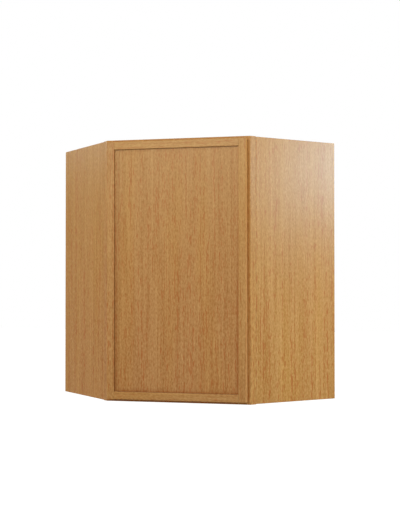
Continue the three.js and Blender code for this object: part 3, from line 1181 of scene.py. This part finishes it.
@dataclass
class Box:
    """The plywood box behind the face frame: sides, backs, top, bottom, hanging rails and shelves."""

    finishes: Finishes
    easing: Easing = Easing()
    shelf_easing: Easing = Easing(1.5 * MM, 1.2 * MM)
    pin_rows: int = 15
    pin_pitch: float = 32 * MM
    pin_hole_radius: float = 2.75 * MM
    pin_hole_depth: float = 9 * MM
    # The right side's paler tone is painted light, for the brighter light on that side
    side_tones: dict[Wing, float] = field(default_factory=lambda: {Wing.LEFT: 0.0, Wing.RIGHT: 0.08})
    housing_gap: float = 0.3 * MM
    overshoot: float = 1 * MM
    hole_sides: int = 24

    def pin_holes(self, wing: Wing, pin: Pin, outward: Point) -> Shape:
        """Makes the cutter for one column of shelf-pin holes.

        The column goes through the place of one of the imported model's pins, at every pitch above and
        below it, and is centred on the cabinet's height.

        Args:
            wing: The side of the cabinet.
            pin: Which pin of a shelf.
            outward: Direction out of the hole.

        Returns:
            The cutter.
        """
        basis = facing(outward)
        local = basis.into(node_points(f"{Level.LOWER}_shelf_pin_{wing}_{pin}"))
        side = (local[:, 1].min() + local[:, 1].max()) / 2
        face = local[:, 2].min() + self.pin_hole_depth - self.housing_gap
        first = cad_box[1].z / 2 - (self.pin_rows - 1) / 2 * self.pin_pitch
        ends = (-self.pin_hole_depth, self.overshoot)
        holes = []
        for row in range(self.pin_rows):
            centre = basis.out_of(np.array([first + row * self.pin_pitch, side, face]))
            holes.append(drum(centre, basis, ends, self.pin_hole_radius, self.hole_sides))
        return reduce(Shape.joined, holes)

    def housing(self, wing: Wing, held: str) -> Shape:
        """Makes the cutter for the housing that a back, top or bottom panel sits in.

        It is the panel's own box with a gap all round, and starts a little inside the side panel's face.

        Args:
            wing: The side of the cabinet.
            held: The panel that the housing takes.

        Returns:
            The cutter.
        """
        basis = Basis(wing.along, wing.off, Z)
        face = basis.into(node_points(f"{wing}_side_panel"))[:, 0].min()
        panel = basis.into(node_points(held))
        edge = panel[panel[:, 0] > face]
        low, high = edge.min(axis=0) - self.housing_gap, edge.max(axis=0) + self.housing_gap
        low[0] = face - self.overshoot
        return slab(low, high, basis)

    def side_panel(self, wing: Wing) -> None:
        """Makes a side panel, oak outside and birch inside.

        Args:
            wing: The side of the cabinet.
        """
        node, inward = f"{wing}_side_panel", tuple(-c for c in wing.along)
        held = (f"{wing}_back_panel", *(f"{end}_panel" for end in End))
        cutters = [self.housing(wing, panel) for panel in held]
        cutters += [self.pin_holes(wing, pin, inward) for pin in (Pin.REAR, Pin.FRONT)]
        grain, tone = Basis(wing.off, wing.along, Z), self.side_tones[wing]
        Board(node, self.finishes.side_plywood, grain, cutters, tone).finish_plan(self.easing)

    def back_panel(self, wing: Wing) -> None:
        """Makes a back panel, bored for one column of shelf pins.

        Args:
            wing: The side of the cabinet.
        """
        node, grain = f"{wing}_back_panel", Basis(wing.along, wing.off, Z)
        holes = [self.pin_holes(wing, Pin.CORNER, wing.off)]
        Board(node, self.finishes.box_plywood, grain, holes).finish_plan(self.easing)

    def build(self) -> None:
        """Makes every board of the box."""
        plywood, shelf_plywood = self.finishes.box_plywood, self.finishes.shelf_plywood
        for wing in Wing:
            self.side_panel(wing)
            self.back_panel(wing)
            grain = Basis(Z, wing.off, wing.along)
            for end in End:
                Board(f"{wing}_{end}_hanging_rail", plywood, grain).finish_plan(self.easing)
        for end in End:
            Board(f"{end}_panel", plywood, FLAT_GRAIN).finish_plan(self.easing)
        for level in Level:
            Board(f"{level}_shelf", shelf_plywood, FLAT_GRAIN).finish_plan(self.shelf_easing)


# ------------------------------ face frame


@dataclass
class FaceFrame:
    """The solid oak frame across the front of the box."""

    finishes: Finishes
    easing: Easing = Easing(0.9 * MM, 0.8 * MM)
    rail_end: float = 0.3 * MM
    joint: float = 0.15 * MM
    tenon_gap: float = 0.3 * MM
    tenon_thickness: float = 6.35 * MM
    tenon_shoulder: float = 6 * MM
    # The right stile's paler tone is painted light, for the brighter light on that side
    tones: dict[Wing, float] = field(default_factory=lambda: {Wing.LEFT: 0.0, Wing.RIGHT: 0.08})

    def tenons(self, end: End, gap: float = 0.0) -> Shape:
        """Makes the bar whose two ends are a rail's tenons.

        Args:
            end: The rail.
            gap: How much larger the bar is all round, for the mortises.

        Returns:
            The bar.
        """
        low, high = (np.array(corner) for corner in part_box(f"frame_{end}_rail"))
        middle = (low[1] + high[1]) / 2
        low[1:] = middle - self.tenon_thickness / 2, low[2] + self.tenon_shoulder
        high[1:] = middle + self.tenon_thickness / 2, high[2] - self.tenon_shoulder
        return slab(low - gap, high + gap)

    def stile(self, wing: Wing) -> None:
        """Makes a stile with its mitred cheek, its mortises and any holes for the hinge plates' screws.

        Args:
            wing: The side of the cabinet.
        """
        cutters = [self.tenons(end, self.tenon_gap) for end in End]
        if wing is Wing.LEFT:
            screws = (f"{hinge}_hinge_{place}_plate_screw" for hinge in Level for place in Level)
            cutters += [screw_hole(screw, LEVEL) for screw in screws]
        node, oak, tone = f"frame_{wing}_stile", self.finishes.frame_oak, self.tones[wing]
        Board(node, oak, UPRIGHT_GRAIN, cutters, tone).finish_plan(self.easing)

    def rail(self, end: End) -> None:
        """Makes a rail between the stiles, with a tenon at each end.

        Args:
            end: Top or bottom.
        """
        node, oak = f"frame_{end}_rail", self.finishes.frame_oak
        low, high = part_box(node)
        start = node_points("frame_left_stile")[:, 0].max() + self.joint
        stop = node_points("frame_right_stile")[:, 0].min() - self.joint
        corners = rectangle((low.y, low.z), (high.y, high.z))
        radii = np.full(len(corners), self.easing.corner)
        board = Board(node, oak, LEVEL_GRAIN, [self.tenons(end)], joinery=Joinery.ADD)
        board.finish(prism(corners, (start, stop), LEVEL, radii, self.rail_end))

    def build(self) -> None:
        """Makes the frame's four members."""
        for wing in Wing:
            self.stile(wing)
        for end in End:
            self.rail(end)


# ------------------------------ door


@dataclass
class Door:
    """The narrow-framed door: two full-height stiles, two rails between them, and a recessed panel."""

    finishes: Finishes
    outer_arris: float = 1.0 * MM
    inner_arris: float = 0.7 * MM
    groove_depth: float = 8.1 * MM
    groove_setback: float = 3.9 * MM
    groove_width: float = 6.2 * MM
    groove_arris: float = 0.25 * MM
    tongue_depth: float = 8 * MM
    tongue_setback: float = 4 * MM
    tongue_width: float = 6 * MM
    tongue_shoulder: float = 0.1 * MM
    member_joint: float = 0.12 * MM
    panel_joint: float = 0.1 * MM
    panel_arris: float = 0.25 * MM
    panel_arris_steps: int = 3
    frame_tone: float = 0.04
    cup_bore_radius: float = 17.8 * MM
    cup_bore_depth: float = 11.85 * MM
    bore_overshoot: float = 2 * MM
    cup_flange: float = 2 * MM
    bore_sides: int = 64
    bumper_dome: float = 0.6
    bumper_steps: int = 6
    bumper_sides: int = 40

    def member_outline(self, outer: float, inner: float) -> tuple[np.ndarray, np.ndarray]:
        """Draws the section of a member: width first, then thickness.

        The section is a rectangle from the outer edge to the inner edge with a groove in its inner edge.
        Where the inner edge has the lower coordinate, the outline is mirrored and its order reversed.

        Args:
            outer: Where the outer edge lies across the member.
            inner: Where the inner edge lies.

        Returns:
            The corners, counter-clockwise, and the radius of each.
        """
        front, back = (corner.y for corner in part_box(HINGE_STILE))
        way = math.copysign(1.0, inner - outer)
        floor = inner - way * self.groove_depth
        near = back - self.groove_setback
        far = near - self.groove_width
        corners = np.array(
            [[outer, front], [inner, front], [inner, far], [floor, far]]
            + [[floor, near], [inner, near], [inner, back], [outer, back]]
        )
        front_radii = [self.outer_arris, self.inner_arris, self.groove_arris, self.groove_arris]
        radii = np.array([*front_radii, *front_radii[::-1]])
        return (corners, radii) if way > 0 else (corners[::-1], radii[::-1])

    def hinge_bores(self) -> list[Shape]:
        """Makes the cutters for both hinge cups and their screws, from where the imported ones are.

        Returns:
            The cutters.
        """
        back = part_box(HINGE_STILE)[1].y
        ends = (-self.cup_bore_depth, self.bore_overshoot)
        bores = []
        for level in Level:
            points = node_points(f"{level}_hinge_cup")
            round_part = points[points[:, 1] < back - self.cup_flange]
            middle = (round_part.min(axis=0) + round_part.max(axis=0)) / 2
            centre = (middle[0], back, middle[2])
            bores.append(drum(centre, INWARD, ends, self.cup_bore_radius, self.bore_sides))
            bores += [screw_hole(f"{level}_hinge_{place}_cup_screw", INWARD) for place in Level]
        return bores

    def stile(self, node: str) -> None:
        """Makes a full-height stile.

        Args:
            node: The solid that it stands for.
        """
        low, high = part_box(node)
        hinged = node == HINGE_STILE
        outer, inner = (low.x, high.x) if hinged else (high.x, low.x)
        corners, radii = self.member_outline(outer, inner)
        bores, oak = self.hinge_bores() if hinged else (), self.finishes.door_oak
        shape = prism(corners, (low.z, high.z), UPRIGHT, radii, self.groove_arris)
        Board(node, oak, UPRIGHT_GRAIN, bores, self.frame_tone).finish(shape)

    def rail(self, node: str) -> None:
        """Makes a rail, whose tongues fill the ends of the stiles' grooves.

        Args:
            node: The solid that it stands for.
        """
        low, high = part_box(node)
        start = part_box(HINGE_STILE)[1].x + self.member_joint
        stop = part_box(LATCH_STILE)[0].x - self.member_joint
        at_top = low.z > cad_box[1].z / 2
        outer, inner = (high.z, low.z) if at_top else (low.z, high.z)
        corners, radii = self.member_outline(outer, inner)
        # The section is drawn as width and thickness, and the sweep wants thickness and width
        corners, radii = corners[::-1, ::-1], radii[::-1]
        edge = outer + math.copysign(self.tongue_shoulder, inner - outer)
        floor = inner - math.copysign(self.groove_depth, inner - outer)
        bottom, top = sorted((edge, floor))
        near = high.y - self.tongue_setback
        tongue = slab((low.x, near - self.tongue_width, bottom), (high.x, near, top))
        shape = prism(corners, (start, stop), LEVEL, radii, self.groove_arris)
        oak, tone = self.finishes.door_oak, self.frame_tone
        Board(node, oak, LEVEL_GRAIN, [tongue], tone, Joinery.ADD).finish(shape)

    def panel(self) -> None:
        """Makes the centre panel with its tongue on all four edges.

        Rings of the same rectangle are stacked from the rear face to the front face. Each stands out from
        the field's edge by its own amount: nothing on the field, the tongue's depth on the tongue, and less
        than nothing on the two rounded arrises.
        """
        node = "door_centre_panel"
        low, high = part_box(node)
        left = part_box(HINGE_STILE)[1].x + self.panel_joint
        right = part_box(LATCH_STILE)[0].x - self.panel_joint
        bottom = low.z + self.tongue_depth + self.panel_joint
        top = high.z - self.tongue_depth - self.panel_joint
        near = high.y - self.tongue_setback
        far = near - self.tongue_width
        t = np.linspace(0, QUARTER_TURN, self.panel_arris_steps + 1)
        drawn_in, height = -self.panel_arris * (1 - np.sin(t)), self.panel_arris * (1 - np.cos(t))
        tongue = [0, self.tongue_depth, self.tongue_depth, 0]
        stand_out = np.concatenate([drawn_in, tongue, drawn_in[::-1]])
        depths = np.concatenate([high.y - height, [near, near, far, far], low.y + height[::-1]])
        away = rectangle((-1, -1), (1, 1))
        rings = rectangle((left, bottom), (right, top)) + stand_out[:, None, None] * away
        board = Board(node, self.finishes.door_oak, UPRIGHT_GRAIN, self.hinge_bores())
        board.finish(lofted(rings, depths, Basis(X, Z, Y)))

    def bumper(self, level: Level) -> None:
        """Makes a soft bumper: a low dome, turned round its own axis.

        The dome's radius at the height h of its rim's arc is the full radius less e * (1 - cos s), where s
        goes from 0 on the wall to a quarter turn on top and h is the wall's height plus e * sin s.

        Args:
            level: Lower or upper.
        """
        node = f"door_{level}_bumper"
        low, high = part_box(node)
        radius, thick = (high.x - low.x) / 2, high.y - low.y
        ease = self.bumper_dome * thick
        s = np.linspace(0, QUARTER_TURN, self.bumper_steps + 1)
        radii = np.concatenate([[radius], radius - ease * (1 - np.cos(s))])
        heights = np.concatenate([[0], thick - ease + ease * np.sin(s)])
        middle = np.array([(low.z + high.z) / 2, (low.x + high.x) / 2])
        rings = middle + radii[:, None, None] * circle(self.bumper_sides)
        made = new_object(piece_name(node), lofted(rings, low.y + heights, INWARD))
        settle(made, self.finishes.bumper, node)

    def build(self) -> None:
        """Makes every piece of the door."""
        self.stile(HINGE_STILE)
        self.stile(LATCH_STILE)
        for end in End:
            self.rail(f"door_{end}_rail")
        self.panel()
        for level in Level:
            self.bumper(level)


# ------------------------------ hardware


@dataclass
class Hardware:
    """The hinges, their screws and the shelf pins, all in plated steel.

    A screw's recess is sized in head radii, its depth and the dome's base in head thicknesses, and its
    point in shank radii.
    """

    finishes: Finishes
    edge: float = 0.22 * MM
    edge_segments: int = 2
    edge_degrees: float = 35.0
    sharp_degrees: float = 50.0
    flat_degrees: float = 1.0
    merging: float = 0.002 * MM
    screw_sides: int = 48
    point_radius: float = 0.1
    point_length: float = 2.0
    dome_base: float = 0.35
    dome_arc: float = 0.92
    dome_rings: int = 16
    dome_eye: float = 0.04
    recess_reach: float = 0.62
    recess_half_width: float = 0.16
    recess_depth: float = 0.75
    arm_softness: float = 0.06
    end_softness: float = 0.12

    def eased_copy(self, node: str, dress: Dress) -> None:
        """Makes a copy of a CAD solid with its doubles merged and its edges rounded.

        Args:
            node: The solid.
            dress: The copy's body, slot and material.
        """
        mesh = frame["nodes"][node].data.copy()
        with edited(mesh) as editing:
            verts, flat = editing.verts, math.radians(self.flat_degrees)
            bmesh.ops.remove_doubles(editing, verts=verts, dist=self.merging)
            bmesh.ops.dissolve_limit(editing, angle_limit=flat, verts=verts, edges=editing.edges)
            bmesh.ops.triangulate(editing, faces=editing.faces)
        made = linked(piece_name(node), mesh)
        rounding = made.modifiers.new("eased", "BEVEL")
        rounding.width = self.edge
        rounding.segments = self.edge_segments
        rounding.limit_method = "ANGLE"
        rounding.angle_limit = math.radians(self.edge_degrees)
        settle(made, dress, node, self.sharp_degrees)

    def screw(self, node: str, outward: Point, dress: Dress) -> None:
        """Makes a pan-head screw with a crossed recess.

        Rings run from the point up the shank, under the head and over its dome to the middle. On top the
        recess sinks the dome by its depth wherever a point lies within a half width of either arm and within
        the arms' reach, with a soft step at the edges.

        Args:
            node: The solid that it stands for.
            outward: Direction from the point to the head.
            dress: Its body, slot and material.
        """
        basis = facing(outward)
        points = basis.into(node_points(node))
        low, high = points.min(axis=0), points.max(axis=0)
        middle = (low + high) / 2
        head = (high[0] - low[0]) / 2
        shank = np.ptp(points[points[:, 2] < middle[2]][:, 0]) / 2
        thick = high[2] - points[points[:, 2] > middle[2]][:, 2].min()
        seat = high[2] - thick
        share = np.linspace(1, self.dome_eye, self.dome_rings)
        bulge = np.sqrt(1 - (share * self.dome_arc) ** 2)
        dome = seat + thick * (self.dome_base + (1 - self.dome_base) * bulge)
        below = [low[2], low[2] + self.point_length * shank, seat, seat, dome[0]]
        radii = np.concatenate([[self.point_radius * shank, shank, shank, head, head], head * share])
        rings = radii[:, None, None] * circle(self.screw_sides)
        arm = np.abs(rings).min(axis=2) / head
        reach = np.abs(rings).max(axis=2) / head
        soft_arm = np.clip((self.recess_half_width - arm) / self.arm_softness, 0, 1)
        soft_end = np.clip((self.recess_reach - reach) / self.end_softness, 0, 1)
        sunk = thick * self.recess_depth * soft_arm * soft_end
        sunk[: len(below)] = 0
        levels = np.concatenate([below, dome])[:, None] - sunk
        made = new_object(piece_name(node), lofted(rings + middle[:2], levels, basis))
        settle(made, dress, node, self.sharp_degrees)

    def hinge(self, level: Level) -> None:
        """Makes one concealed hinge.

        Args:
            level: Lower or upper.
        """
        fixed, moving = self.finishes.fixed_steel, self.finishes.moving_steel
        for part, dress in (("cup", moving), ("arm", fixed), ("plate", fixed), ("pin", moving)):
            self.eased_copy(f"{level}_hinge_{part}", dress)
        for place in Level:
            self.screw(f"{level}_hinge_{place}_cup_screw", Y, moving)
            self.screw(f"{level}_hinge_{place}_plate_screw", X, fixed)
        self.screw(f"{level}_hinge_arm_screw", X, fixed)

    def build(self) -> None:
        """Makes all the hardware."""
        for level in Level:
            self.hinge(level)
            for wing in Wing:
                for pin in Pin:
                    self.eased_copy(f"{level}_shelf_pin_{wing}_{pin}", self.finishes.fixed_steel)


# ------------------------------ studio


@dataclass(frozen=True)
class PhotoCamera:
    """The camera that took the photograph, worked out from the cabinet's edges in it.

    The place is measured from the middle of the face frame's lower front edge.
    """

    place: Point = (0.7882, -2.8826, 0.3420)
    turn_degrees: float = 14.0436
    tilt_degrees: float = 0.9819
    focal_pixels: float = 1037.45
    long_side_pixels: float = 532.0
    sensor: float = 36.0

    def make(self) -> None:
        """Makes the camera; it looks along +Y, turned to the left and tilted up a little."""
        data = bpy.data.cameras.new("photo_camera")
        data.sensor_width = self.sensor
        data.lens = self.focal_pixels * self.sensor / self.long_side_pixels
        camera = linked("photo_camera", data)
        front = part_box("frame_top_rail")[0].y
        camera.location = Vector(self.place) + Vector((0.0, front, 0.0))
        turn = Matrix.Rotation(math.radians(self.turn_degrees), 4, "Z")
        tilt = Matrix.Rotation(math.radians(90 + self.tilt_degrees), 4, "X")
        camera.rotation_euler = (turn @ tilt).to_euler()
        bpy.context.scene.camera = camera


# Lamp colours: a window's light, a milder one for the door, and the sky's
COOL = (0.74, 0.96, 1.04)
MILD = (0.74, 0.96, 0.90)
SKY = (0.60, 0.92, 1.12)

# The boards that the left and right sheen lamps are for
LEFT_BOARDS, RIGHT_BOARDS = ((f"{wing}_side_panel", f"frame_{wing}_stile") for wing in Wing)


@dataclass(frozen=True)
class Softbox:
    """A rectangular lamp that faces the cabinet.

    A sheen lamp is flagged off from everything but the boards that it is for, and shows in their gloss only.
    """

    name: str
    place: Point
    width: float
    height: float
    power: float
    aim: Point = (0.0, 0.0, 0.40)
    sheen_on: tuple[str, ...] = ()
    colour: Point = (1.0, 1.0, 1.0)

    def make(self) -> None:
        """Makes the lamp."""
        data = bpy.data.lights.new(self.name, "AREA")
        data.shape = "RECTANGLE"
        data.size, data.size_y = self.width, self.height
        data.energy = self.power
        data.color = self.colour
        lamp = linked(self.name, data)
        lamp.visible_camera = False
        lamp.visible_diffuse = not self.sheen_on
        lamp.location = self.place
        way = Vector(self.aim) - Vector(self.place)
        lamp.rotation_euler = way.to_track_quat("-Z", "Y").to_euler()
        if self.sheen_on:
            boards = bpy.data.collections.new(f"{self.name}_boards")
            for node in self.sheen_on:
                boards.objects.link(bpy.data.objects[piece_name(node)])
            lamp.light_linking.receiver_collection = boards


@dataclass(frozen=True)
class Studio:
    """White surroundings, a pale floor well below the hung cabinet, and soft lamps."""

    ambient: float = 0.43
    floor_drop: float = 2.6
    floor_half: float = 60.0
    floor_colour: Colour = (0.85, 0.85, 0.85, 1.0)
    floor_glow: float = 0.72
    lamps: tuple[Softbox, ...] = (
        Softbox("right_softbox", (2.2, 0.4, 0.7), 0.9, 0.9, 35.0),
        Softbox("front_softbox", (0.1, -2.0, 1.3), 1.6, 1.0, 23.2),
        Softbox("left_softbox", (-3.2, -1.0, 1.3), 1.8, 1.8, 31.0),
        Softbox(
            "side_sheen", (1.72, -0.195, 0.88), 0.43, 0.42, 124.0, (0.4, -0.157, 0.7), RIGHT_BOARDS, SKY
        ),
        Softbox("door_sheen", (-0.7, -2.7, 1.22), 2.0, 0.6, 43.0, (0.0, -0.3, 0.8), DOOR_BOARDS, MILD),
        Softbox("left_sheen", (-2.2, 0.49, 1.5), 1.5, 1.0, 26.0, (-0.4, -0.2, 0.6), LEFT_BOARDS, COOL),
    )

    def seen_directly(self, canvas: Canvas) -> Socket:
        """Gives 1 for rays from the camera, from gloss and through glass, and 0 for the rest.

        Args:
            canvas: Where the nodes go.

        Returns:
            The share.
        """
        path = canvas.add("LightPath").outputs
        seen = canvas.math("MAXIMUM", path["Is Camera Ray"], path["Is Glossy Ray"])
        return canvas.math("MAXIMUM", seen, path["Is Transmission Ray"])

    def surroundings(self) -> None:
        """Makes the world: white where it is seen, and a soft fill for the rest."""
        canvas = Canvas(bpy.data.worlds.new("studio"))
        fill, white = (
            canvas.add("Background", {"Color": WHITE, "Strength": strength}).outputs[0]
            for strength in (self.ambient, 1.0)
        )
        shown = {0: self.seen_directly(canvas), 1: fill, 2: white}
        bpy.context.scene.world = canvas.finish("MixShader", shown)

    def floor(self) -> None:
        """Makes the floor: pale, and lifted to white where it is seen."""
        corners = rectangle((-self.floor_half, -self.floor_half), (self.floor_half, self.floor_half))
        points = np.column_stack([corners, np.full(len(corners), -self.floor_drop)])
        ground = new_object("studio-floor", Shape(points, [(0, 1, 2, 3)]))
        canvas = Canvas.of_material("studio_floor")
        pale = canvas.add("BsdfDiffuse", {"Color": self.floor_colour}).outputs[0]
        glow = canvas.add("Emission", {"Color": WHITE, "Strength": self.floor_glow}).outputs[0]
        lifted = canvas.add("AddShader", {0: pale, 1: glow}).outputs[0]
        shown = {0: self.seen_directly(canvas), 1: pale, 2: lifted}
        ground.data.materials.append(canvas.finish("MixShader", shown))

    def build(self) -> None:
        """Makes the surroundings, the floor and the lamps."""
        self.surroundings()
        self.floor()
        for lamp in self.lamps:
            lamp.make()
        bpy.context.scene.view_settings.view_transform = "Standard"


# ------------------------------ main


def main() -> None:
    """Builds the cabinet's looks and the studio round it."""
    logging.basicConfig(level=logging.INFO, format="%(levelname)s %(message)s")
    PhotoCamera().make()
    finishes = Finishes.make()
    for assembly in (Box(finishes), FaceFrame(finishes), Door(finishes), Hardware(finishes)):
        assembly.build()
        log.info("%s is done", type(assembly).__name__)
    Studio().build()


if __name__ == "__main__":
    main()
